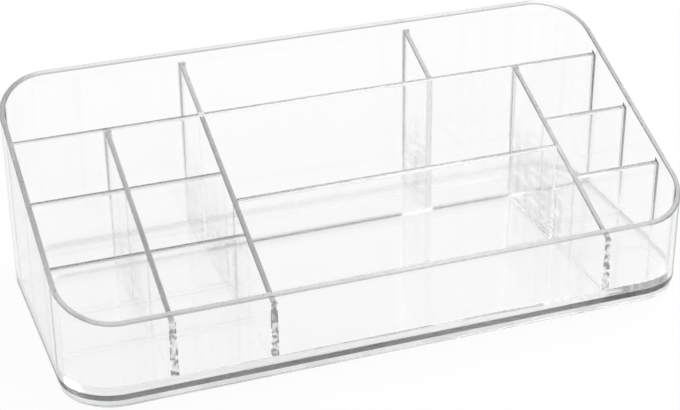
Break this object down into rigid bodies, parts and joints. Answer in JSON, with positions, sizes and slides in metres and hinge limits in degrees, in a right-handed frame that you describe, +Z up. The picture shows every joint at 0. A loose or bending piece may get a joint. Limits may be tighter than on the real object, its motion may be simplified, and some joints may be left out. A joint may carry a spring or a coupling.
{
  "type": "vanity organizer",
  "caption": "Clear vanity organizer with a round-cornered wall that slopes from a tall back to a low front, on a base plate and foot ring, divided into open bins.",
  "frame": {"origin": "middle of the footprint, on the surface that the organizer stands on", "axes": "+X along the length, from left to right as seen from the front; +Y from the low front to the tall back; +Z up"},
  "size_m": [0.305, 0.143, 0.102],
  "materials": {
    "clear_wall": "polished clear acrylic, colourless",
    "clear_divider": "polished clear acrylic panel, colourless",
    "clear_base": "polished clear acrylic, grey on its edge"
  },
  "bodies": {
    "root": {"wall": "clear_wall", "floor_panel": "clear_wall", "base_plate": "clear_base", "foot_ring": "clear_base", "cross_divider": "clear_divider", "rear_divider_left": "clear_divider", "rear_divider_right": "clear_divider", "left_block_divider": "clear_divider", "middle_divider_left": "clear_divider", "middle_divider_right": "clear_divider", "tray_divider": "clear_divider", "cell_divider_left_rear": "clear_divider", "cell_divider_left_front": "clear_divider", "cell_divider_inner_rear": "clear_divider", "cell_divider_inner_front": "clear_divider", "cell_divider_right_rear": "clear_divider", "cell_divider_right_front": "clear_divider"}
  },
  "joints": []
}
